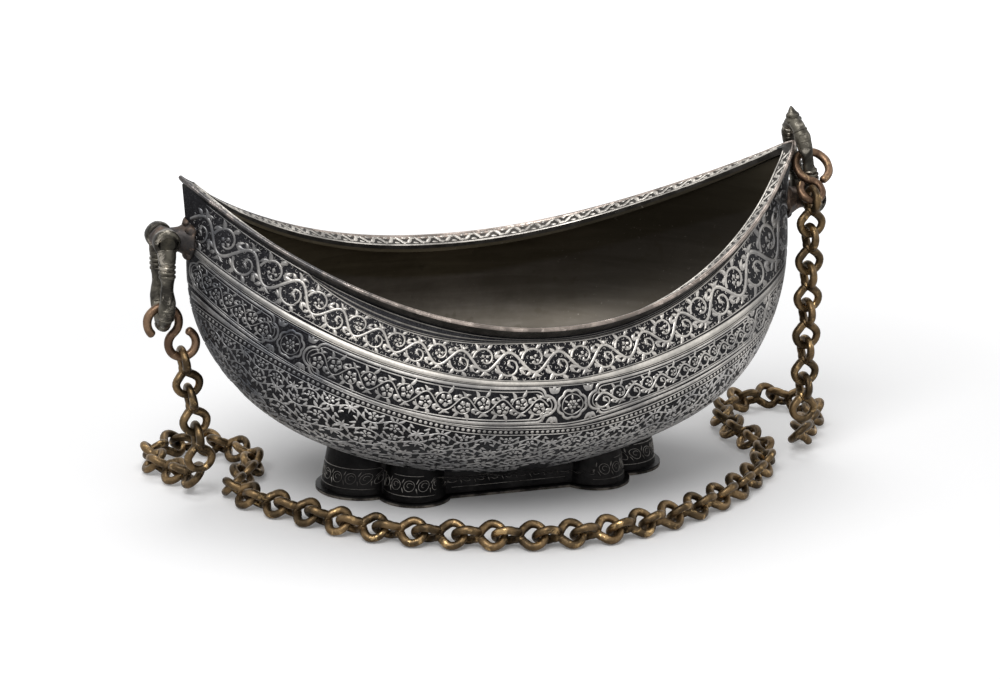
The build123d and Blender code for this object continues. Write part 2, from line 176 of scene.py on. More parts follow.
def studio():
    scene = bpy.context.scene
    scene.view_settings.view_transform = "Standard"
    world = bpy.data.worlds.new("studio")
    scene.world = world
    world.use_nodes = True
    tree = world.node_tree
    tree.nodes.clear()
    path = tree.nodes.new("ShaderNodeLightPath")
    direct = tree.nodes.new("ShaderNodeMath")
    direct.operation = "MAXIMUM"
    tree.links.new(path.outputs["Is Camera Ray"], direct.inputs[0])
    tree.links.new(path.outputs["Is Transmission Ray"], direct.inputs[1])
    seen = tree.nodes.new("ShaderNodeMath")
    seen.operation = "MAXIMUM"
    tree.links.new(direct.outputs[0], seen.inputs[0])
    tree.links.new(path.outputs["Is Glossy Ray"], seen.inputs[1])
    level = tree.nodes.new("ShaderNodeMapRange")
    level.inputs[3].default_value = 0.38
    level.inputs[4].default_value = 1.0
    tree.links.new(seen.outputs[0], level.inputs[0])
    light = tree.nodes.new("ShaderNodeBackground")
    light.inputs[0].default_value = (1, 1, 1, 1)
    tree.links.new(level.outputs[0], light.inputs[1])
    out = tree.nodes.new("ShaderNodeOutputWorld")
    tree.links.new(light.outputs[0], out.inputs[0])
    lamp("key", (-0.75, -0.95, 1.35), (0, 0, 0.08), 0.9, 15.0)
    lamp("side", (1.3, -0.5, 0.8), (0, 0, 0.08), 0.7, 1.2)
    lamp("top", (0.1, 0.5, 1.5), (0, 0, 0.08), 0.9, 5.0)
    ground = Graph("white_table")
    diffuse = ground.add("ShaderNodeBsdfDiffuse")
    diffuse.inputs[0].default_value = (0.86, 0.86, 0.865, 1)
    glow_with_painted_shadow = ground.add("ShaderNodeEmission")
    rays = ground.add("ShaderNodeLightPath")
    # The floor glows for the camera so it reads white. The glow is weak within about 0.2 m of the object, which paints
    # a shadow round it, and grows far away to even out the backdrop
    away = ground.add("ShaderNodeVectorMath", operation="LENGTH")
    ground.feed(away.inputs[0], ground.place())
    near = ground.between(away.outputs["Value"], 0.06, 0.21, 0.05, 0.27)
    level = ground.math("ADD", near, ground.between(away.outputs["Value"], 0.3, 0.8, 0.0, 0.5))
    ground.feed(glow_with_painted_shadow.inputs[1], ground.math("MULTIPLY", rays.outputs["Is Camera Ray"], level))
    both = ground.add("ShaderNodeAddShader")
    ground.feed(both.inputs[0], diffuse.outputs[0])
    ground.feed(both.inputs[1], glow_with_painted_shadow.outputs[0])
    ground.tree.links.new(both.outputs[0], ground.out.inputs[0])
    bpy.ops.mesh.primitive_plane_add(size=30, location=(0, 0, -0.0003))
    table = bpy.context.object
    table.name = "table_top"
    table.data.materials.append(ground.material)


# Materials


def wire_metal(name, dark, base, bright, rough=0.42, end=None):
    """Old worked wire: dark skin, brown patches and rubbed golden places, with painted shade past a place along X."""
    g = Graph(name)
    patches = g.between(g.noise(90, 5, 0.62, 0.4), 0.40, 0.62)
    rubbed = g.between(g.noise(170, 6, 0.7, 0.6), 0.54, 0.68)
    colour = g.mix(patches, dark, base)
    colour = g.mix(rubbed, colour, bright)
    # Painted shade: past the given place along X the colour turns dark bluish grey, broken a little by the patches
    if end:
        split = g.add("ShaderNodeSeparateXYZ")
        g.feed(split.inputs[0], g.place())
        past = g.between(split.outputs[0], (end[0] + 35) * MM, (end[0] - 25) * MM)
        past = g.math("MULTIPLY", past, g.between(patches, 0.0, 1.0, 0.92, 0.70))
        colour = g.mix(past, colour, (end[1], end[1], 1.05 * end[1]))
    shine = g.between(rubbed, 0.0, 1.0, rough, rough - 0.14)
    dents = g.bump(g.noise(420, 4, 0.6), 0.35, 0.0006)
    pits = g.bump(g.noise(1500, 3, 0.5), 0.25, 0.0002, dents)
    return g.metal(colour, shine, pits, 0.9)


def relief_metal(name, bright, dull, rough=0.36, ends=None):
    """Raised tinned ornament: pale where rubbed, grey where tarnished, with painted shade past two places along X and
    low down.
    """
    g = Graph(name)
    tarnish = g.between(g.noise(55, 5, 0.65), 0.38, 0.66)
    specks = g.between(g.noise(900, 3, 0.6), 0.40, 0.70)
    colour = g.mix(tarnish, bright, dull)
    colour = g.mix(g.math("MULTIPLY", specks, 0.45), colour, dull)
    # Painted shade: past the two given places along X the ornament turns dark bluish grey, broken a little by noise,
    # where the ends of the bowl fall into shade
    if ends:
        split = g.add("ShaderNodeSeparateXYZ")
        g.feed(split.inputs[0], g.place())
        left = g.between(split.outputs[0], ends[0] * MM, (ends[0] - 38) * MM)
        right = g.between(split.outputs[0], ends[1] * MM, (ends[1] + 70) * MM)
        dark = g.math("MULTIPLY", g.math("MAXIMUM", left, right), g.between(g.noise(70, 4), 0.25, 0.7, 1.0, 0.62))
        # Painted shade low down: the ornament darkens from 45 mm down to 14 mm, where the underside gets less light
        dark = g.math("MAXIMUM", dark, g.between(split.outputs[2], 0.045, 0.014, 0.0, 0.55))
        colour = g.mix(dark, colour, (0.062, 0.066, 0.076))
    scratch = g.bump(g.noise(1800, 3, 0.6), 0.2, 0.0002)
    return g.metal(colour, rough, scratch, 0.9)


def bowl_metal():
    """Chased ground outside, brown inside with a lighter floor and painted shade towards the right end, and the rubbed
    lip.
    """
    g = Graph("bowl_metal")
    split = g.add("ShaderNodeSeparateXYZ")
    g.feed(split.inputs[0], g.place())
    x, y, z = (g.math("MULTIPLY", split.outputs[i], 1000.0) for i in range(3))
    facing = g.add("ShaderNodeSeparateXYZ")
    geometry = g.add("ShaderNodeNewGeometry")
    g.feed(facing.inputs[0], geometry.outputs["Normal"])
    outward = g.math("MULTIPLY", y, facing.outputs[1])
    outward = g.math("ADD", outward, g.math("MULTIPLY", g.math("MULTIPLY", x, 0.5), facing.outputs[0]))
    reach = g.math("MINIMUM", g.math("DIVIDE", g.math("ABSOLUTE", x), 151.0), 1.0)
    rim = g.math("ADD", g.math("MULTIPLY", g.math("POWER", reach, 2.1), 59.7), 95.2)
    above = g.math("SUBTRACT", z, rim)
    # Outside: dark stippled ground with a little grey showing through
    stipple = g.between(g.cells(1150), 0.18, 0.52)
    patches = g.between(g.noise(30, 5, 0.65), 0.35, 0.65)
    ground = g.mix(stipple, (0.030, 0.030, 0.033), (0.008, 0.008, 0.010))
    ground = g.mix(g.math("MULTIPLY", patches, 0.30), ground, (0.045, 0.044, 0.046))
    # Inside: brown above the crease, warm grey below it, with brush lines and spots, and painted shade towards the
    # right end
    crease = g.math("ADD", g.math("MULTIPLY", g.math("POWER", reach, 1.9), 48.5), 76.5)
    below = g.between(g.math("SUBTRACT", z, crease), 2.0, -2.0)
    lines = g.noise(30, 5, 0.6, 0.8, place=g.stretched((0.5, 0.5, 5.0)))
    spots = g.between(g.noise(120, 3, 0.5), 0.62, 0.70)
    brown = g.mix(g.between(lines, 0.30, 0.70), (0.105, 0.088, 0.056), (0.160, 0.136, 0.094))
    grey = g.mix(g.between(lines, 0.30, 0.70), (0.165, 0.146, 0.122), (0.225, 0.202, 0.175))
    inner = g.mix(below, brown, grey)
    # Painted shade: the inside darkens towards the right end, from x = -20 mm to 100 mm
    inner = g.mix(g.between(x, -20.0, 100.0, 0.0, 0.72), inner, (0.024, 0.021, 0.016))
    inner = g.mix(g.math("MULTIPLY", g.between(g.noise(16, 5, 0.7), 0.42, 0.66), 0.35), inner, (0.045, 0.037, 0.024))
    inner = g.mix(g.math("MULTIPLY", spots, 0.35), inner, (0.06, 0.05, 0.035))
    specks = g.math("MULTIPLY", g.between(g.noise(420, 4, 0.7), 0.62, 0.74), g.between(g.noise(45, 3), 0.45, 0.6))
    inner = g.mix(g.math("MULTIPLY", specks, 0.5), inner, (0.34, 0.31, 0.27))
    outside = g.between(outward, -1.0, 1.0)
    colour = g.mix(outside, inner, ground)
    # Flange and lip
    flange = g.between(above, -1.6, -1.0)
    worn = g.between(g.noise(140, 5, 0.6), 0.35, 0.65)
    flange_colour = g.mix(worn, (0.026, 0.024, 0.021), (0.060, 0.055, 0.050))
    lip = g.between(above, 2.4, 3.2)
    lip_colour = g.mix(worn, (0.20, 0.16, 0.135), (0.42, 0.34, 0.29))
    colour = g.mix(flange, colour, flange_colour)
    colour = g.mix(lip, colour, lip_colour)
    rough = g.between(lip, 0.0, 1.0, 0.48, 0.30)
    chased = g.bump(g.math("MULTIPLY", g.cells(1150), outside), 0.5, 0.0003)
    hammered = g.bump(g.noise(38, 2, 0.4), 0.16, 0.001, chased)
    return g.metal(colour, rough, hammered, 0.88)


def foot_metal():
    g = Graph("foot_metal")
    patches = g.between(g.noise(60, 5, 0.65), 0.38, 0.64)
    colour = g.mix(patches, (0.006, 0.0058, 0.006), (0.020, 0.019, 0.019))
    split = g.add("ShaderNodeSeparateXYZ")
    g.feed(split.inputs[0], g.place())
    edge = g.between(split.outputs[2], 0.0013, 0.0009)
    worn = g.mix(g.between(g.noise(120, 4, 0.6), 0.4, 0.6), (0.05, 0.045, 0.04), (0.24, 0.215, 0.185))
    colour = g.mix(edge, colour, worn)
    dents = g.bump(g.noise(500, 4, 0.6), 0.4, 0.0004)
    return g.metal(colour, 0.46, dents, 0.9)


# Meshes


def piece(name, verts, faces, material, body, slot, smooth=True, stands_for=()):
    """Mesh object from millimetre points that rides on a body."""
    mesh = bpy.data.meshes.new(name)
    mesh.from_pydata((np.asarray(verts) * MM).tolist(), [], faces)
    mesh.validate()
    mesh.polygons.foreach_set("use_smooth", [smooth] * len(mesh.polygons))
    mesh.materials.append(material)
    made = bpy.data.objects.new(name, mesh)
    bpy.context.scene.collection.objects.link(made)
    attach(made, body)
    if stands_for:
        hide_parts(*stands_for)
    return made


def ring_faces(rows, columns, closed=False, start=0):
    """Faces of a tube of rings, one ring after another."""
    row = np.arange(rows if closed else rows - 1)[:, None]
    column = np.arange(columns)[None, :]
    after = (row + 1) % rows
    beside = (column + 1) % columns
    quads = np.stack([row * columns + column, row * columns + beside, after * columns + beside, after * columns + column], -1)
    return (quads.reshape(-1, 4) + start).tolist()


def swept(points, radii, sides=12, closed=False, flat=1.0):
    """Round tube along points, with an even twist and flat caps on the ends of an open tube. Returns points and faces.
    """
    points = np.asarray(points, float)
    count = len(points)
    if closed:
        along = np.roll(points, -1, 0) - np.roll(points, 1, 0)
    else:
        along = np.gradient(points, axis=0)
    along /= np.linalg.norm(along, axis=1)[:, None]
    across = np.cross(along[0], (0, 0, 1.0) if abs(along[0][2]) < 0.9 else (1.0, 0, 0))
    frames = []
    for tangent in along:
        across = across - tangent * (across @ tangent)
        across = across / np.linalg.norm(across)
        frames.append(across)
    across = np.array(frames)
    if closed:
        last = across[-1] - along[0] * (across[-1] @ along[0])
        drift = np.arctan2(np.dot(np.cross(across[0], last), along[0]), across[0] @ last)
        around = np.cross(along, across)
        back = -drift * np.arange(count) / count
        across = across * np.cos(back)[:, None] + around * np.sin(back)[:, None]
    around = np.cross(along, across)
    radii = np.broadcast_to(np.asarray(radii, float), (count,))
    turn = 2 * pi * np.arange(sides) / sides
    ring = across[:, None] * np.cos(turn)[None, :, None] + flat * around[:, None] * np.sin(turn)[None, :, None]
    verts = points[:, None] + ring * radii[:, None, None]
    verts = verts.reshape(-1, 3)
    faces = ring_faces(count, sides, closed)
    if not closed:
        faces += [list(range(sides))[::-1], [(count - 1) * sides + k for k in range(sides)]]
    return verts, faces


def capped(points, radius, dome=3):
    """Points and radii with rounded ends added."""
    points = np.asarray(points, float)
    start = points[0] - points[1]
    start /= np.linalg.norm(start)
    end = points[-1] - points[-2]
    end /= np.linalg.norm(end)
    steps = [(k + 1) / (dome + 0.15) for k in range(dome)]
    first = [points[0] + start * radius * 0.8 * s for s in steps[::-1]]
    last = [points[-1] + end * radius * 0.8 * s for s in steps]
    size = [radius * (1 - s * s) ** 0.5 for s in steps]
    return np.array([*first, *points, *last]), np.array([*size[::-1], *[radius] * len(points), *size])


def joined(parts):
    """One list of points and faces from several."""
    verts, faces, count = [], [], 0
    for part_verts, part_faces in parts:
        verts.append(np.asarray(part_verts, float))
        faces += [[i + count for i in face] for face in part_faces]
        count += len(part_verts)
    return np.concatenate(verts), faces


# Chain: the same route and pitch as the solids


LINK_WIRE = 1.8
LINK_LOOP = 5.7
PITCH = 4 * LINK_LOOP - 2 * LINK_WIRE - 0.1
LYING_HEIGHT = LINK_LOOP / cos(pi / 8) * sin(pi / 4) + LINK_WIRE
LYING_ROUTE = (
    (-149.5, 25), (-157, 40), (-158, 56), (-148, 70), (-131, 72), (-117, 62), (-110, 46), (-111, 29), (-121, 14),
    (-130.5, 0), (-128, -15), (-117, -30), (-105, -48), (-93, -65), (-75, -80), (-57, -90.5), (-36, -98),
    (-12, -105), (12, -107), (33, -103.5), (52, -97), (70, -88), (87, -78), (102, -67), (117, -52), (132, -34),
    (140, -14), (138, 8), (136, 28), (143, 46), (157, 60), (174, 65), (189, 58), (194, 42), (187, 25), (174, 11),
    (165, -4),
)


def unit(v):
    return v / np.linalg.norm(v)


def turned(v, axis, angle):
    axis = unit(axis)
    return v * cos(angle) + np.cross(axis, v) * sin(angle) + axis * (axis @ v) * (1 - cos(angle))


def walk(route, pitch):
    """Joints of the chain at an even pitch along a route of straight runs."""
    spots = [np.array(p, float) for p in route]
    here = spots[0]
    joints = [here]
    leg = 0
    while leg < len(spots) - 1:
        run, back = spots[leg + 1] - spots[leg], spots[leg] - here
        square, middle = run @ run, run @ back
        root = middle**2 - square * (back @ back - pitch**2)
        share = (root**0.5 - middle) / square if root >= 0 else 2.0
        if share > 1:
            leg += 1
            continue
        here = spots[leg] + run * share
        joints.append(here)
    return joints


def laid(joints, sideways, roll):
    """Centre, side direction and length direction of each link, turning with the bends."""
    places = []
    before = None
    for start, end in zip(joints, joints[1:]):
        along = unit(end - start)
        if before is None:
            sideways = turned(sideways, along, radians(roll))
        elif np.linalg.norm(np.cross(before, along)) > 1e-9:
            sideways = turned(sideways, np.cross(before, along), np.arccos(min(before @ along, 1.0)))
        sideways = unit(sideways - along * (sideways @ along))
        places.append(((start + end) / 2, sideways, along))
        before = along
    return places


def link_shape():
    """Figure of eight of round wire, each loop square to the other, pinched at the waist."""
    steps = 30
    neck = 0.85
    line = []
    for sign in (1, -1):
        for k in range(steps):
            a = 2 * pi * (k + 0.5) / steps
            up = LINK_LOOP * (1 - cos(a))
            out = LINK_LOOP * sin(a)
            if up < LINK_LOOP:
                share = up / LINK_LOOP
                pinched = neck + (LINK_LOOP - neck) * sin(pi / 2 * share) ** 1.25
                out = np.sign(out) * (0.25 * abs(out) + 0.75 * pinched)
                twist = pi / 4 * max(0.0, 1 - share / 0.45) ** 1.5
            else:
                twist = 0.0
            if sign > 0:
                line.append((out * cos(twist), out * sin(twist), up))
            else:
                line.append((out * sin(twist), out * cos(twist), -up))
    reach = np.abs([point[2] for point in line]) / (2 * LINK_LOOP)
    return swept(line, LINK_WIRE + 0.25 * np.clip(1.6 - 1.9 * reach, 0, 1), 12, closed=True)


LINK = link_shape()


def links(places):
    """Links at their places, each with its own slight unevenness."""
    parts = []
    verts, faces = LINK
    for centre, side, along in places:
        across = np.cross(along, side)
        uneven = verts * (1 + 0.012 * rng.standard_normal(3))
        parts.append((centre + uneven @ np.array([side, across, along]), faces))
    return joined(parts)


# Relief: ornament drawn flat in millimetres, then laid on a surface


class Relief:
    """Raised strokes over a surface. A stroke's points are (along, across) in millimetres."""

    def __init__(self, height=0.30):
        self.height = height
        self.rows = []
        self.faces = []
        self.count = 0

    def _add(self, block, faces):
        self.rows.append(block.reshape(-1, 3))
        self.faces += (faces + self.count).tolist() if isinstance(faces, np.ndarray) else [
            [i + self.count for i in face] for face in faces
        ]
        self.count += block.size // 3

    def clip(self, limit):
        """Keeps the strokes so far within a distance across the band."""
        for block in self.rows:
            np.clip(block[:, 1], -limit, limit, out=block[:, 1])

    def stroke(self, points, width, lift=1.0, flat=0.58):
        """Ribbon along a line with sloping sides, flat over a share of its width, which may change along it."""
        points = np.asarray(points, float)
        run = np.gradient(points, axis=0)
        size = np.linalg.norm(run, axis=1)
        size[size == 0] = 1.0
        side = np.stack([-run[:, 1], run[:, 0]], -1) / size[:, None]
        half = np.broadcast_to(np.asarray(width, float) / 2, (len(points),))[:, None]
        top = self.height * lift
        columns = []
        for share, lift_here in ((-1.0, -0.12), (-flat, top), (flat, top), (1.0, -0.12)):
            place = points + side * half * share
            columns.append(np.concatenate([place, np.full((len(points), 1), lift_here)], 1))
        block = np.stack(columns, 1)
        row = np.arange(len(points) - 1)[:, None]
        column = np.arange(3)[None, :]
        quads = np.stack([row * 4 + column, (row + 1) * 4 + column, (row + 1) * 4 + column + 1, row * 4 + column + 1], -1)
        self._add(block, quads.reshape(-1, 4))

    def ring(self, points, width, lift=1.0):
        """Closed stroke."""
        points = np.asarray(points, float)
        self.stroke(np.concatenate([points, points[:2]]), width, lift)

    def bead(self, x, y, radius, lift=1.0, sides=7):
        turn = 2 * pi * np.arange(sides) / sides
        circle = np.stack([np.cos(turn), np.sin(turn)], -1)
        rings = []
        for share, high in ((1.0, -0.12), (0.75, 0.75 * self.height * lift), (0.3, self.height * lift)):
            rings.append(np.concatenate([(x, y) + circle * radius * share, np.full((sides, 1), high)], 1))
        faces = ring_faces(3, sides) + [[2 * sides + k for k in range(sides)]]
        self._add(np.stack(rings), faces)

    def leaf(self, x, y, angle, length, width, bend=0.0, lift=1.0, steps=6):
        """Pointed leaf that starts at a point and bends as it goes."""
        share = np.linspace(0, 1, steps)
        turn = angle + bend * share
        run = np.stack([np.cos(turn), np.sin(turn)], -1) * length / (steps - 1)
        points = np.array((x, y)) + np.concatenate([np.zeros((1, 2)), np.cumsum(run[:-1], 0)])
        self.stroke(points, width * np.sin(pi * (0.06 + 0.92 * share**0.8)), lift)

    def split_leaf(self, x, y, angle, size, lift=1.0):
        """Two leaves that part and curl, with a bud between them."""
        self.leaf(x, y, angle + 0.35, size, 0.42 * size, 1.3, lift, 7)
        self.leaf(x, y, angle - 0.35, size, 0.42 * size, -1.3, lift, 7)
        self.leaf(x, y, angle, 0.62 * size, 0.26 * size, 0.0, lift, 4)

    def palmette(self, x, y, angle, size, lift=1.0):
        for spread, share in ((0.0, 1.0), (0.65, 0.9), (-0.65, 0.9), (1.35, 0.7), (-1.35, 0.7)):
            self.leaf(x, y, angle + spread, size * share, 0.29 * size, 0.9 * np.sign(spread), lift, 5)

    def rosette(self, x, y, radius, petals=5, spin=0.3, lift=1.0, steps=6):
        for k in range(petals):
            turn = spin + 2 * pi * k / petals
            self.petal(x + 0.30 * radius * cos(turn), y + 0.30 * radius * sin(turn), turn, 0.70 * radius, 0.80 * radius, lift, steps)
        self.bead(x, y, 0.17 * radius, 0.8 * lift, 6)

    def petal(self, x, y, angle, length, width, lift=1.0, steps=6):
        share = np.linspace(0, 1, steps)
        points = np.array((x, y)) + share[:, None] * length * np.array((cos(angle), sin(angle)))
        self.stroke(points, width * (0.25 + 0.75 * np.sin(pi * share**1.5)) * (1 - share**6 * 0.8), lift)

    def spiral(self, x, y, radius, start, sweep, width, lift=1.0, inner=0.35):
        """Curl that winds in towards a centre."""
        steps = max(6, int(abs(sweep) * radius / 0.9) + 3)
        share = np.linspace(0, 1, steps)
        turn = start + sweep * share
        size = radius * (1 - (1 - inner) * share)
        points = np.stack([x + size * np.cos(turn), y + size * np.sin(turn)], -1)
        self.stroke(points, width * (1 - 0.35 * share), lift)

    def scroll(self, start, end, half, bay, width, flower=0.17, lift=1.0, petals=5, bold=1.0):
        """Waving stem between two places along the band, with a curl, a flower and leaves in each bay."""
        count = max(1, round((end - start) / bay))
        bay = (end - start) / count
        swing = 0.52 * half
        along = np.linspace(start, end, count * 14 + 1)
        self.stroke(np.stack([along, swing * np.sin(pi * (along - start) / bay)], -1), width, lift)
        for k in range(count):
            sign = 1 if k % 2 == 0 else -1
            middle = start + (k + 0.5) * bay
            y = -sign * 0.16 * half
            size = min(0.5 * bay, 0.80 * half)
            self.spiral(middle, y, size, pi, sign * 5.2, 0.85 * width, lift, 0.30)
            if petals and (petals > 4 or k % 2):
                self.rosette(middle, y, flower * bay, petals, 0.3 + k, lift)
            else:
                self.split_leaf(middle - 0.1 * bay, y, 0.4 * sign, flower * 1.3 * bay, lift)
            for turn, share in ((3.9, 0.30), (4.9, 0.32), (5.9, 0.28)):
                turn = turn if sign > 0 else -turn
                reach = size * 0.80
                spot = (middle + reach * cos(turn), y + reach * sin(turn))
                self.leaf(*spot, turn + sign * 0.7, share * bay * bold, 0.14 * bay * bold, -sign * 1.0, lift)
            self.split_leaf(middle, sign * swing, sign * 1.35, 0.24 * bay * bold, lift)
            self.leaf(middle - 0.18 * bay, sign * swing * 0.9, sign * 2.2, 0.26 * bay, 0.12 * bay * bold, sign * 0.9, lift)
            self.leaf(middle + 0.42 * bay, -sign * 0.30 * half, -sign * 1.25, 0.42 * half, 0.13 * bay * bold, sign * 0.9, lift)
            self.leaf(middle + 0.42 * bay, sign * 0.34 * half, sign * 1.0, 0.42 * half, 0.12 * bay * bold, -sign * 0.9, lift)

    def shape(self, lay):
        """Points and faces of the strokes, laid on a surface with lay(along, across, height)."""
        flat = np.concatenate(self.rows)
        return lay(flat[:, 0], flat[:, 1], flat[:, 2]), self.faces

    def made(self, name, lay, material, slot):
        piece(name, *self.shape(lay), material, ROOT, slot)


# Hull: the same form as the solid, with the small difference of the solid's skin measured on it


def half_size(z, widest, full, rounding, slope):
    depth = np.clip((widest - z) / (widest - 8.0), 0, 1)
    high = np.maximum(z - widest, 0)
    return full * (1 - depth ** rounding[0]) ** (1 / rounding[1]) - slope * high**2 / (high + 8.0)


def hull(turn, z, side):
    power = 1.0 + 0.54 * np.clip(z / 147.0, 0, 1) ** 3.6
    x = half_size(z, 131.6, 152.7, (2.51, 2.04), 0.118) * np.sin(turn)
    y = half_size(z, 63.5, 93.6, (1.51, 1.90), 0.471) * np.abs(np.cos(turn)) ** power
    return np.stack([x, side * y, z + 0 * x], -1)


def slopes(turn, z, side):
    """Directions along and up the hull, and its outward normal."""
    step = 1e-3
    along = (hull(turn + step, z, side) - hull(turn - step, z, side)) / (2 * step)
    up = (hull(turn, z + 0.2, side) - hull(turn, z - 0.2, side)) / 0.4
    out = np.cross(along, up) * -side
    return along, up, out / np.linalg.norm(out, axis=-1)[..., None]


def wall_top(turn):
    return 95.2 + 59.7 * np.abs(np.sin(turn)) ** 2.1


def tree_of(node):
    mesh = NODES[node].data
    return BVHTree.FromPolygons([v.co / MM for v in mesh.vertices], [p.vertices[:] for p in mesh.polygons])


class Skin:
    """The outer face of one side of the bowl."""

    LOW = 14.0
    TURNS = np.radians(np.linspace(-89.6, 89.6, 121))
    SHARES = np.linspace(0, 1, 31)

    def __init__(self, side, tree):
        self.side = side
        turn = self.TURNS[:, None] + 0 * self.SHARES[None]
        z = self.LOW + (wall_top(turn) - 2.2 - self.LOW) * self.SHARES[None]
        base = hull(turn, z, side)
        out = slopes(turn, z, side)[2]
        self.gap = np.zeros(turn.shape)
        for i in range(turn.shape[0]):
            for j in range(turn.shape[1]):
                hit = tree.ray_cast(Vector(base[i, j] + 3 * out[i, j]), Vector(-out[i, j]), 6.0)
                if hit[0] is not None:
                    self.gap[i, j] = np.clip(3 - hit[3], -1.2, 1.4)

    def lay(self, turn, z, height):
        """Points a height over the skin."""
        turn = np.clip(turn, self.TURNS[0], self.TURNS[-1])
        share = np.clip((z - self.LOW) / (wall_top(turn) - 2.2 - self.LOW), 0, 1)
        column = np.interp(turn, self.TURNS, np.arange(len(self.TURNS)))
        row = share * (len(self.SHARES) - 1)
        i = np.minimum(column.astype(int), len(self.TURNS) - 2)
        j = np.minimum(row.astype(int), len(self.SHARES) - 2)
        s, t = column - i, row - j
        gap = (1 - s) * ((1 - t) * self.gap[i, j] + t * self.gap[i, j + 1])
        gap += s * ((1 - t) * self.gap[i + 1, j] + t * self.gap[i + 1, j + 1])
        out = slopes(turn, z, self.side)[2]
        return hull(turn, z, self.side) + out * (gap + height)[..., None]


def band_line(left, right):
    """Height of an ornament line over the turn, from (base, rise, power) left and right of the middle."""

    def height(turn):
        reach = np.abs(np.sin(turn))
        share = np.clip(turn / radians(16) + 0.5, 0, 1)
        one = left[0] + left[1] * reach ** left[2]
        other = right[0] + right[1] * reach ** right[2]
        return np.minimum(one + (other - one) * share, wall_top(turn) - 2.4)

    return height


NECK = band_line((93.8, 59.7, 2.1), (93.8, 59.7, 2.1))
SCROLL_TOP = band_line((91.9, 92.0, 3.4), (90.9, 59.0, 2.1))
PLAIN_TOP = band_line((75.1, 52.5, 2.4), (74.6, 29.6, 1.6))
PLAIN_LOW = band_line((73.4, 51.5, 2.7), (72.8, 29.6, 2.0))
CARTOUCHE_LOW = band_line((54.7, 52.5, 3.4), (52.9, 29.5, 1.2))
BEADS = band_line((50.9, 46.3, 2.8), (49.8, 32.9, 1.7))


class Band:
    """A strip of the skin between two lines: along it in mm from the middle, and across it in mm."""

    def __init__(self, skin, low, high, nominal=None, ends=87.0):
        self.skin = skin
        turn = np.radians(np.linspace(-ends, ends, 801))
        bottom, top = low(turn), high(turn)
        middle = (bottom + top) / 2
        line = hull(turn, middle, skin.side)
        self.along = np.concatenate([[0], np.cumsum(np.linalg.norm(np.diff(line, axis=0), axis=1))])
        self.along -= np.interp(0, turn, self.along)
        around, up, out = slopes(turn, middle, skin.side)
        slope = np.gradient(middle, turn)
        run = around + up * slope[:, None]
        run /= np.linalg.norm(run, axis=1)[:, None]
        over = np.cross(out, run)
        over *= np.sign(over[:, 2])[:, None]
        basis = np.stack([around, up], -1)
        weights = np.stack([np.linalg.lstsq(b, o, rcond=None)[0] for b, o in zip(basis, over)])
        self.turn, self.middle = turn, middle
        self.by_turn, self.by_height = weights[:, 0], weights[:, 1]
        self.half = np.maximum((top - bottom) / 2 / (self.by_height - slope * self.by_turn), 0.4)
        self.scale = np.ones(len(turn))
        if nominal:
            self.scale = self.half / nominal
            steps = np.diff(self.along) / ((self.scale[1:] + self.scale[:-1]) / 2)
            self.along = np.concatenate([[0], np.cumsum(steps)])
            self.along -= np.interp(0, turn, self.along)
        self.start, self.end = self.along[0], self.along[-1]

    def at(self, degrees):
        """Place along the band of a turn in degrees."""
        return float(np.interp(radians(degrees), self.turn, self.along))

    def lay(self, along, across, height):
        def look(values):
            return np.interp(along, self.along, values)

        over = across * look(self.scale)
        turn = look(self.turn) + over * look(self.by_turn)
        z = look(self.middle) + over * look(self.by_height)
        return self.skin.lay(turn, np.minimum(z, wall_top(turn) - 2.2), height)


def long_line(art, band, across, width, lift=1.0, flat=0.58):
    """Line along a whole band."""
    along = np.arange(band.start, band.end, 1.6)
    art.stroke(np.stack([along, along * 0 + across], -1), width, lift, flat)


def lobed_outline(start, end, half):
    """Outline of a long cartouche with lobed, pointed ends."""
    small = 0.60 * half
    step = 0.45 * half
    end_x, end_y = [], []
    for a in np.linspace(0, pi / 2, 7):
        end_x.append(small * (1 - cos(a)))
        end_y.append(small * sin(a))
    for a in np.linspace(0.15, pi / 2, 5):
        end_x.append(small + step * (1 - cos(a)))
        end_y.append(small + (half - small) * sin(a))
    end_x, end_y = np.array(end_x), np.array(end_y)
    straight = np.arange(start + end_x[-1] + 1.0, end - end_x[-1] - 0.5, 1.4)
    upper = np.concatenate([
        np.stack([start + end_x, end_y], -1),
        np.stack([straight, np.full(len(straight), half)], -1),
        np.stack([end - end_x[::-1], end_y[::-1]], -1),
    ])
    return np.concatenate([upper, upper[::-1][1:-1] * (1, -1)])


def medallion(art, x, half):
    turn = np.linspace(0, 2 * pi, 41)[:-1]
    size = half * (0.84 + 0.12 * np.abs(np.sin(4 * turn)))
    art.ring(np.stack([x + size * np.cos(turn), size * np.sin(turn)], -1), 1.3)
    inner = 0.68 * half
    art.ring(np.stack([x + inner * np.cos(turn), inner * np.sin(turn)], -1), 0.5)
    art.rosette(x, 0, 0.34 * half, 6, 0.0)
    for k in range(6):
        a = (k + 0.5) * pi / 3
        art.leaf(x + 0.34 * half * cos(a), 0.34 * half * sin(a), a, 0.30 * half, 0.16 * half)


def corner_leaves(art, x, half):
    """Trefoils above and below the place where two cartouches meet."""
    for sign in (1, -1):
        for bend in (-0.8, 0.0, 0.8):
            art.leaf(x, sign * 0.62 * half, sign * pi / 2 + bend, 0.42 * half, 0.26 * half)


def cartouche(art, start, end, half, ribbon):
    """Double border, filled with a flowering stem or with a broad wavy ribbon among leaves."""
    art.ring(lobed_outline(start, end, 0.90 * half), 1.35)
    art.ring(lobed_outline(start + 1.9, end - 1.9, 0.73 * half), 0.55)
    first, last = start + 3.6, end - 3.6
    if ribbon:
        art.scroll(first, last, 0.66 * half, 9.5, 1.25, 0.24, 1.0, 4, 1.3)
    else:
        art.scroll(first, last, 0.72 * half, 8.2, 0.66, 0.36, 1.0, 5, 1.5)
    art.clip(0.97 * half)


# Bands of the outside, near and far


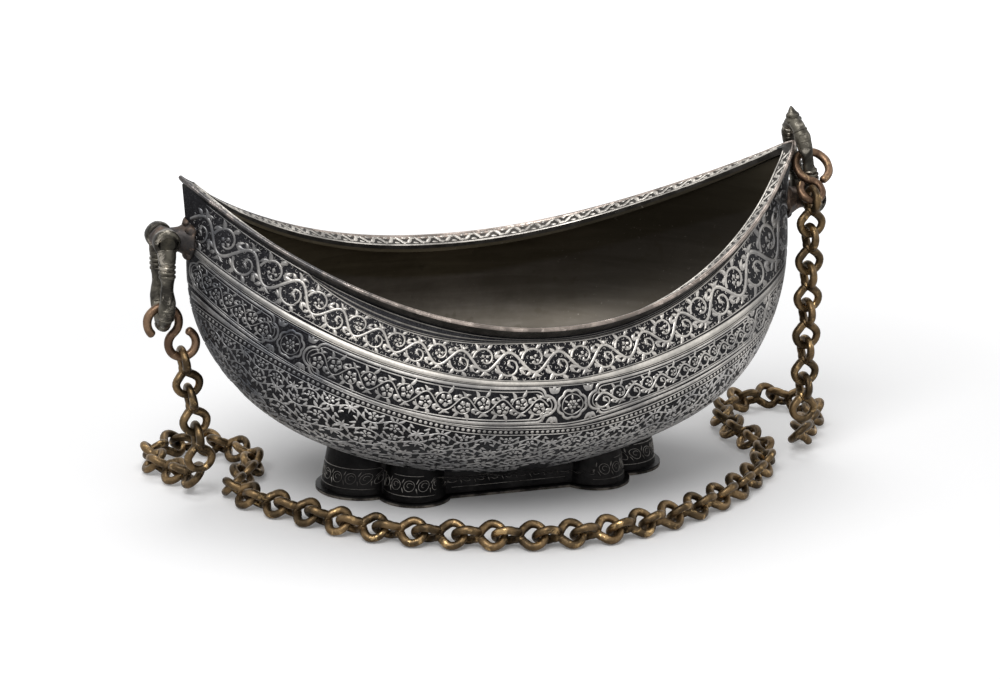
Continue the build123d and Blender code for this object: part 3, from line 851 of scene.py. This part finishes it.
def ornament(side, skin, label):
    # The pairs of numbers at the end of these relief_metal calls are the places along X, in mm, past which shade is
    # painted
    bright = relief_metal(f"relief_{label}", (0.68, 0.645, 0.595), (0.34, 0.325, 0.31), 0.34, (-96, 82))
    dull = relief_metal(f"cartouche_{label}", (0.64, 0.612, 0.575), (0.30, 0.29, 0.28), 0.36, (-70, 100))
    slot = "engraved_tin"
    # Neck: low plain mouldings under the rim
    neck = Band(skin, SCROLL_TOP, NECK, 3.0, 88.0)
    art = Relief(0.2)
    for across, width in ((-2.4, 0.55), (-0.4, 0.9), (2.3, 0.6)):
        long_line(art, neck, across, width)
    art.made(f"neck_lines_{label}", neck.lay, relief_metal(f"neck_{label}", (0.30, 0.285, 0.26), (0.13, 0.122, 0.11)), slot)
    # Bold scroll over a ground of fine curls
    half = 9.0
    band = Band(skin, PLAIN_TOP, SCROLL_TOP, half, 86.0)
    art = Relief(0.36)
    art.scroll(band.start + 2, band.end - 2, half, 12.0, 1.55, 0.20, 1.0, 4, 1.3)
    for x in np.arange(band.start + 3, band.end - 3, 2.6):
        for row, y in enumerate((-0.84, -0.56, -0.28, 0.0, 0.28, 0.56, 0.84)):
            place = x + 1.3 * (row % 2)
            art.spiral(place, y * half, 0.9, rng.uniform(0, 6.3), 3.6 * (1 if row % 2 else -1), 0.34, 0.4)
    art.clip(0.93 * half)
    for edge in (-1, 1):
        long_line(art, band, edge * (half - 0.35), 0.5)
    art.made(f"scroll_band_{label}", band.lay, bright, slot)
    # Plain band with a fine line below it
    plain = Band(skin, PLAIN_LOW, PLAIN_TOP, 2.0)
    art = Relief(0.26)
    long_line(art, plain, 0.35, 3.0, 1.0, 0.86)
    long_line(art, plain, -1.62, 0.42)
    matt = relief_metal(f"plain_{label}", (0.72, 0.682, 0.625), (0.46, 0.438, 0.405), 0.47, (-100, 84))
    art.made(f"plain_band_{label}", plain.lay, matt, slot)
    # Cartouches
    band = Band(skin, CARTOUCHE_LOW, PLAIN_LOW, half)
    art = Relief(0.32)
    spots = [band.at(a) for a in (-52.2, 2.2, 54.0)]
    for edge in (-1, 1):
        long_line(art, band, edge * (half - 0.4), 0.5)
    for x in spots:
        medallion(art, x, 0.80 * half)
        for shift in (-1, 1):
            corner_leaves(art, x + shift * 0.95 * half, half)
    gap = 0.86 * half
    limits = [band.start + 1, *spots, band.end - 1]
    for k, (first, last) in enumerate(zip(limits, limits[1:])):
        cartouche(art, first + (gap if k else 0), last - (gap if k < 3 else 0), half, k == 2)
    art.made(f"cartouche_band_{label}", band.lay, dull, slot)
    # Flat line, then the bead row between thin lines
    gap = Band(skin, lambda turn: BEADS(turn) + 1.9, CARTOUCHE_LOW, 1.0)
    art = Relief(0.26)
    long_line(art, gap, -0.05, 1.0, 1.0, 0.8)
    art.made(f"border_line_{label}", gap.lay, dull, slot)
    band = Band(skin, lambda turn: BEADS(turn) - 1.9, lambda turn: BEADS(turn) + 1.9)
    art = Relief(0.36)
    for x in np.arange(band.start + 1, band.end, 2.5):
        art.bead(x, 0, 0.95)
    for edge in (-1.75, 1.75):
        long_line(art, band, edge, 0.45, 0.7)
    art.made(f"bead_row_{label}", band.lay, dull, slot)


def field_row(art, band, row, half, bay):
    """Flowers and leaves on a thin waving stem, with tips that reach into the rows beside it."""
    count = 2 * int((band.end - band.start) / bay / 2) + row % 2
    bay = (band.end - band.start) / count
    wave = np.linspace(0, 1, 7)
    for k in range(count):
        x = band.start + k * bay
        if np.interp(x + 0.5 * bay, band.along, band.middle) < 19:
            continue
        sign = 1 if (k + row) % 2 else -1
        middle = x + 0.5 * bay
        crest = 0.50 * half * sign
        art.stroke(np.stack([x + bay * wave, crest * np.sin(pi * wave)], -1), 0.6)
        if (k + 2 * row) % 3:
            art.rosette(middle, -0.32 * half * sign, 2.6, 5, 0.4 + k, 1.0, 4)
        else:
            art.palmette(middle, crest - sign * 0.6, -sign * pi / 2, 3.9)
        art.leaf(middle, crest, sign * pi / 2, 2.8, 1.4, 0.0, 1.0, 4)
        for aside in (-1, 1):
            away = pi / 2 - aside * (pi / 2 - 0.5)
            art.leaf(middle + aside * 0.9, crest, sign * away, 4.2, 1.7, aside * sign * 0.9, 1.0, 5)
            back = -sign * (pi / 2 - aside * 0.75)
            art.leaf(middle + aside * 0.30 * bay, 0.55 * crest, back, 4.2, 1.7, -sign * aside * 1.2, 1.0, 5)
            up = sign * (pi / 2 + aside * 0.5)
            art.leaf(middle + aside * 0.44 * bay, -0.9 * half * sign, up, 3.2, 1.5, sign * aside * 1.1, 1.0, 5)


def lower_field(side, skin, label):
    """All-over arabesque in rows that follow the beads, each beside the last, down to the foot."""
    turns = np.radians(np.linspace(-89, 89, 401))
    bay, half = 10.6, 4.6
    top = BEADS(turns) - 2.2
    shapes = []
    for row in range(12):
        step = 8.6 * 1.09**row
        around, up, out = slopes(turns, top, side)
        slope = np.gradient(top, turns)
        run = around + up * slope[:, None]
        over = np.cross(out, run / np.linalg.norm(run, axis=1)[:, None])
        over *= np.sign(over[:, 2])[:, None]
        share = np.stack([np.linalg.lstsq(np.stack([a, u], -1), o, rcond=None)[0] for a, u, o in zip(around, up, over)])
        low = np.maximum(top - step * np.clip(share[:, 1] - slope * share[:, 0], 0.05, 1.2), 12.0)
        if low.max() < 20:
            break
        band = Band(skin, lambda t: np.interp(t, turns, low), lambda t: np.interp(t, turns, top), half, 88.0)
        art = Relief(0.28)
        field_row(art, band, row, half, bay)
        if art.rows:
            shapes.append(art.shape(band.lay))
        top = low
    # The pair of numbers at the end is where the painted shade towards the ends begins, in mm along X
    grey = relief_metal(f"field_{label}", (0.72, 0.70, 0.675), (0.38, 0.372, 0.37), 0.38, (-96, 128))
    piece(f"upper_field_{label}", *joined(shapes[:4]), grey, ROOT, "engraved_tin")
    piece(f"lower_field_{label}", *joined(shapes[4:]), grey, ROOT, "engraved_tin")


def rim_frieze(side, label):
    """Small leaves along the inner face of the flange."""
    turn = np.radians(np.linspace(-84, 84, 601))

    def point(turn, share, height=0.0):
        z = wall_top(turn)
        reach_x, reach_y, rise = -2.0 + 6.8 * share, -2.0 + 7.6 * share, 0.4 + 3.6 * share
        power = 1.0 + 0.54 * np.clip(z / 147.0, 0, 1) ** 3.6
        x = (half_size(z, 131.6, 152.7, (2.51, 2.04), 0.118) + reach_x) * np.sin(turn)
        y = (half_size(z, 63.5, 93.6, (1.51, 1.90), 0.471) + reach_y) * np.abs(np.cos(turn)) ** power
        return np.stack([x, side * y, z + rise], -1)

    line = point(turn, 0.5)
    along = np.concatenate([[0], np.cumsum(np.linalg.norm(np.diff(line, axis=0), axis=1))])
    along -= along[300]
    art = Relief(0.25)
    for k, x in enumerate(np.arange(along[0] + 3, along[-1] - 3, 5.2)):
        sign = 1 if k % 2 else -1
        art.leaf(x - 2.5, -sign * 2.0, sign * 0.65, 6.0, 2.3, sign * 0.5)
        art.leaf(x - 0.2, sign * 1.9, -sign * 0.4, 3.6, 1.7, sign * 0.9)
        art.leaf(x + 1.0, -sign * 1.7, sign * 0.2, 2.8, 1.4, -sign * 0.9)
    run = np.arange(along[0], along[-1], 2.0)
    art.stroke(np.stack([run, 0 * run - 3.2], -1), 1.1)
    art.stroke(np.stack([run, 0 * run + 2.7], -1), 0.5)

    def lay(u, w, h):
        t = np.interp(u, along, turn)
        share = 0.5 + w / 7.4
        base = point(t, share)
        ahead = point(t + 1e-3, share) - base
        over = point(t, share + 1e-2) - base
        out = np.cross(ahead, over)
        out *= np.sign(out[:, 2])[:, None]
        out /= np.linalg.norm(out, axis=1)[:, None]
        return base + out * (h - 0.02)[:, None]

    pale = relief_metal(f"frieze_{label}", (0.70, 0.66, 0.60), (0.26, 0.245, 0.225), 0.34)
    art.made(f"rim_frieze_{label}", lay, pale, "engraved_tin")


def rolled_lip():
    """Worn roll along the edge of the lip, both sides and round both prows."""
    loops = []
    for side in (-1, 1):
        turn = np.radians(np.linspace(-90, 90, 241))[:: -side]
        z = wall_top(turn)
        power = 1.0 + 0.54 * np.clip(z / 147.0, 0, 1) ** 3.6
        x = (half_size(z, 131.6, 152.7, (2.51, 2.04), 0.118) + 4.1) * np.sin(turn)
        y = (half_size(z, 63.5, 93.6, (1.51, 1.90), 0.471) + 4.9) * np.abs(np.cos(turn)) ** power
        loops.append(np.stack([x, side * y, z + 3.0], -1)[:-1])
    # The last pair paints shade on the lip towards the left prow, past x = -85 mm
    lip = wire_metal("lip_metal", (0.20, 0.172, 0.152), (0.46, 0.39, 0.345), (0.82, 0.71, 0.64), 0.28, (-85, 0.06))
    piece("rolled_lip", *swept(np.concatenate(loops), 1.05, 10, closed=True), lip, ROOT, "engraved_tin")


def foot_panels():
    """Fine curls and lines around the foot, on its face as the solid has it."""
    tree = tree_of("foot_ring")
    turn = np.radians(np.arange(0, 360, 0.5))
    levels = (3.5, 8.0, 13.0, 18.0)
    rings = []
    for z in levels:
        ring = []
        for a in turn:
            hit = tree.ray_cast(Vector((200 * cos(a), 200 * sin(a), z)), Vector((-cos(a), -sin(a), 0)))
            ring.append(hit[0] if hit[0] is not None else ring[-1])
        rings.append(np.array(ring))
    rings = np.array(rings)
    middle = np.concatenate([rings[1], rings[1][:1]])
    along = np.concatenate([[0], np.cumsum(np.linalg.norm(np.diff(middle, axis=0), axis=1))])
    art = Relief(0.16)
    length = along[-1]
    count = int(length / 7.0)
    for k in range(count):
        x = length * (k + 0.5) / count
        ring_turn = np.linspace(0, 2 * pi, 15)[:-1]
        art.ring(np.stack([x + 2.6 * np.cos(ring_turn), 9.5 + 2.6 * np.sin(ring_turn)], -1), 0.35)
        art.spiral(x, 9.5, 1.7, 0.5, 4.5, 0.35)
        for sx in (-1, 1):
            art.leaf(x + 3.4, 9.5 + sx * 1.0, sx * 1.2, 2.6, 0.6, 0.0)
    run = np.arange(0, length, 1.5)
    for y in (4.6, 14.2):
        art.stroke(np.stack([run, 0 * run + y], -1), 0.4)

    def lay(u, w, h):
        place = np.interp(u % length, along, np.arange(len(along)))
        i = np.minimum(place.astype(int), len(turn) - 1)
        s = (place - i)[:, None]
        level = np.interp(w, levels, np.arange(len(levels)))
        j = np.minimum(level.astype(int), len(levels) - 2)
        t = (level - j)[:, None]
        after = (i + 1) % len(turn)
        low = rings[j, i] * (1 - s) + rings[j, after] * s
        high = rings[j + 1, i] * (1 - s) + rings[j + 1, after] * s
        base = low * (1 - t) + high * t
        run = rings[j, after] - rings[j, i]
        out = np.stack([run[:, 1], -run[:, 0], 0 * run[:, 0]], -1)
        out /= np.maximum(np.linalg.norm(out, axis=1), 1e-6)[:, None]
        return base + out * h[:, None]

    pale = relief_metal("foot_relief", (0.30, 0.285, 0.265), (0.07, 0.066, 0.062), 0.38)
    verts, faces = art.shape(lay)
    edges = verts[[face[0] for face in faces]] - verts[[face[2] for face in faces]]
    small = np.linalg.norm(edges, axis=1) < 3.2
    piece("foot_scrolls", verts, [face for face, keep in zip(faces, small) if keep], pale, ROOT, "foot_bronze")


# Castings, hooks and chain


def bail_station(share):
    eye = 4.5 + 0.3 + 2.8
    if share < 0.55:
        t = share / 0.55
        return eye + (8.9 - eye) * sin(pi / 2 * t), 0.62 * 40.0 * t
    t = (share - 0.55) / 0.45 * pi / 2
    return 8.9 * cos(t), 40.0 * (0.62 + 0.38 * sin(t))


def lathed(profile, axis_from, axis_to, sides=20):
    """Turned form from (distance along, radius) pairs on an axis."""
    start, end = np.array(axis_from, float), np.array(axis_to, float)
    along = unit(end - start)
    points = [start + along * d for d, _ in profile]
    return swept(points, [r for _, r in profile], sides)


def wobbled(shape, size, pace):
    """The slight unevenness of hand work."""
    verts, faces = shape
    waves = np.sin(verts[:, [1, 2, 0]] * pace + (0.4, 1.9, 3.1)) * np.cos(verts[:, [2, 0, 1]] * pace * 0.7 + 1.1)
    return verts + size * waves, faces


def bail_shape(crest):
    """Cast bail on its pivot: heavy eyes, grouped collars, waisted arms that swell, and a crest."""
    shares = np.linspace(0.06, 1.0, 60)
    half = [bail_station(s) for s in shares]
    line = [(0, y, z) for y, z in half] + [(0, -y, z) for y, z in half[::-1][1:]]
    profile = ((0.06, 4.0), (0.16, 3.6), (0.24, 3.0), (0.36, 3.0), (0.42, 2.5), (0.50, 2.5), (0.62, 3.3), (0.72, 3.5), (0.80, 2.9), (1.0, 2.9))
    size = np.interp(shares, [p[0] for p in profile], [p[1] for p in profile])
    radii = [*size, *size[::-1][1:]]
    arms, faces = swept(line, radii, 18)
    parts = [(arms * (1.16, 1, 1), faces)]
    for side in (-1, 1):
        eye = [(0, 4.9), (0.5, 5.9), (1.2, 6.3), (4.2, 6.3), (5.0, 6.0), (5.5, 5.4), (5.6, 4.5), (5.3, 3.6), (4.6, 3.2), (4.3, 2.4)]
        parts.append(lathed(eye, (0, side * 4.8, 0), (0, side * 10.4, 0), 28))
        for z, radius in ((8.4, 3.9), (10.6, 4.1), (12.8, 4.1), (15.0, 3.9)):
            y = side * bail_station(0.55 * z / 24.8)[0]
            ring = [(-0.3, 2.6), (0.0, radius - 0.4), (0.4, radius), (1.2, radius), (1.6, radius - 0.4), (1.9, 2.6)]
            parts.append(lathed(ring, (0, y, z), (0, y, z + 1), 24))
        for z, radius in ((31.2, 4.0), (33.8, 3.8), (36.0, 3.9)):
            share = 0.55 + 0.45 * np.arcsin((z / 40.0 - 0.62) / 0.38) / (pi / 2)
            y0, z0 = bail_station(share)
            y1, z1 = bail_station(share + 0.01)
            direction = unit(np.array((0, side * (y1 - y0), z1 - z0)))
            spot = np.array((0, side * y0, z0))
            ring = [(-0.9, 2.5), (-0.4, radius - 0.2), (0.0, radius), (0.4, radius - 0.2), (0.9, 2.5)]
            parts.append(lathed(ring, spot, spot + direction, 10))
    parts.append(lathed(crest, (0, 0, 39.0), (0, 0, 45), 9))
    return wobbled(joined(parts), 0.16, 0.9)


def lug_shape(side):
    """Rough lug: a knuckle for the pin and a neck that spreads over the prow in lumps of solder."""
    prow = half_size(np.array(129.5), 131.6, 152.7, (2.51, 2.04), 0.118)
    share = np.linspace(0, 1, 12)
    spots = [(side * (162.5 + (prow - 2.5 - 162.5) * t), 0, 129.5 - 1.0 * t) for t in share]
    neck = swept(spots, 4.2 + 4.0 * share**2.0, 20, flat=1.15)
    barrel = [(0, 4.4), (0.5, 5.1), (1.2, 5.4), (3.6, 5.2), (4.5, 4.9), (5.4, 5.2), (7.8, 5.4), (8.5, 5.1), (9, 4.4)]
    parts = [neck, lathed(barrel, (side * 163.5, -4.5, 129.5), (side * 163.5, 4.5, 129.5), 28)]
    ball = [(-cos(a), sin(a)) for a in np.linspace(0.1, pi - 0.1, 9)]
    lumps = ((-3.6, 4.2, 3.4), (3.4, 5.0, 3.0), (-4.8, -2.0, 3.0), (4.6, -1.5, 3.4), (-1.5, -6.6, 3.2), (2.6, -5.6, 2.6), (0.5, 7.4, 2.6))
    for y, z, size in lumps:
        spot = np.array((side * (prow - 0.8 - 0.35 * abs(y)), y, 129.0 + z))
        parts.append(lathed([(d * size, r * size) for d, r in ball], spot, spot + (0.3, 0.2, 1.0), 14))
    return wobbled(joined(parts), 0.35, 1.1)


def hook_shape(loop_radius, eye_radius, waist, turn, sweep):
    """Open S of round wire about the centre of its loop."""
    reach = loop_radius + eye_radius
    eye = (reach * cos(radians(waist)), reach * sin(radians(waist)))

    def arc(centre, radius, start, swing, steps):
        angles = np.radians(start + swing * np.arange(steps + 1) / steps)
        return np.stack([centre[0] + radius * np.cos(angles), 0 * angles, centre[1] + radius * np.sin(angles)], -1)

    loop = arc((0, 0), loop_radius, waist - turn * sweep, turn * sweep, 34)
    tail = arc(eye, eye_radius, waist + 180, -turn * 290.0, 34)
    points, radii = capped(np.concatenate([loop[:-1], tail]), 2.05)
    return wobbled(swept(points, radii, 14), 0.10, 0.8)


def placed(shape, centre, turn_y=0.0, turn_x=0.0):
    """A shape turned about Y, then about X, and moved."""
    verts, faces = shape
    turn = Matrix.Rotation(radians(turn_x), 3, "X") @ Matrix.Rotation(radians(turn_y), 3, "Y")
    return verts @ np.array(turn).T + np.array(centre), faces


def castings():
    bronze = wire_metal("bail_bronze", (0.034, 0.031, 0.026), (0.135, 0.124, 0.100), (0.42, 0.385, 0.325), 0.40)
    brass = wire_metal("hook_brass", (0.10, 0.060, 0.038), (0.23, 0.145, 0.09), (0.50, 0.34, 0.19), 0.38)
    blunt = [(-1.5, 2.0), (0, 3.5), (1.5, 4.0), (3.0, 3.7), (4.3, 2.8), (5.1, 1.6), (5.5, 0.4)]
    pointed = [
        (-1.5, 2.0), (0, 3.4), (1.4, 4.2), (2.4, 4.1), (3.1, 3.0), (3.9, 3.4), (4.8, 3.2), (5.8, 2.2), (7.2, 1.5),
        (8.2, 0.8), (8.7, 0.3),
    ]
    for name, side, lean, crest in (("left", -1, 180.0, blunt), ("right", 1, -14.0, pointed)):
        verts, faces = placed(bail_shape(crest), (side * 163.5, 0, 129.5), lean)
        piece(f"bail_casting_{name}", verts, faces, bronze, f"bail_{name}", "cast_bronze", True, (f"bail_{name}",))
    left = placed(hook_shape(7.5, 6.6, -50.0, -1, 272.0), (-163.5, 0, 89.5))
    right = placed(hook_shape(8.6, 5.6, -109.0, 1, 315.0), (161.045, -8.847, 146.965), 0, -45.0)
    for name, shape in (("left", left), ("right", right)):
        piece(f"hook_wire_{name}", *shape, brass, f"hook_{name}", "hook_brass", True, (f"hook_{name}",))
    lug = wire_metal("lug_copper", (0.050, 0.046, 0.045), (0.115, 0.082, 0.062), (0.25, 0.175, 0.13), 0.5)
    pin = wire_metal("pin_brass", (0.03, 0.028, 0.022), (0.09, 0.080, 0.060), (0.25, 0.22, 0.17))
    for name in ("left", "right"):
        piece(f"lug_lump_{name}", *lug_shape(-1 if name == "left" else 1), lug, ROOT, "lug_copper", True, (f"lug_{name}",))
        dress(f"pivot_pin_{name}", pin)


def dress(node, material):
    data = NODES[node].data
    data.materials.clear()
    data.materials.append(material)


def chain():
    brass = wire_metal("chain_brass", (0.066, 0.045, 0.024), (0.195, 0.128, 0.063), (0.52, 0.35, 0.165), 0.38)
    slot = "chain_brass"
    sideways = np.array((1.0, 0, 0))
    left = walk([(-154.437, 0, 74.049), (-151, 0, 54.5), (-147.5, 0.5, 36), (-144.5, 1.5, 10)], PITCH)
    right = walk([(156.422, -20.301, 136.812), (156.8, -19.8, 100), (157.8, -19.2, 60), (158.6, -18.8, 10)], PITCH)
    for label, joints, count in (("left", left, 3), ("right", right, 6)):
        for i, spot in enumerate(laid(joints[: count + 1], sideways, 0), 1):
            node = f"link_{label}_{i}"
            piece(f"wire_{node}", *links([spot]), brass, node, slot, True, (node,))
    level = [(x, y, LYING_HEIGHT) for x, y in LYING_ROUTE]
    joints = walk([(-145.5, 8.5, 10.0), *level, (158.5, -16.5, 13.0)], PITCH - 0.7)
    sideways = unit(np.cross(joints[1] - joints[0], (0, 0, 1.0)))
    places = laid(joints, sideways, 45.0)
    for node, part in (("heap_left", places[:11]), ("chain_front", places[11:27]), ("heap_right", places[27:])):
        piece(f"wire_{node}", *links(part), brass, ROOT, slot, True, (node,))


camera()
studio()
bowl_tree = tree_of("bowl")
for label, side in (("near", -1), ("far", 1)):
    skin = Skin(side, bowl_tree)
    ornament(side, skin, label)
    lower_field(side, skin, label)
    rim_frieze(side, label)
dress("bowl", bowl_metal())
rolled_lip()
dress("foot_ring", foot_metal())
foot_panels()
castings()
chain()
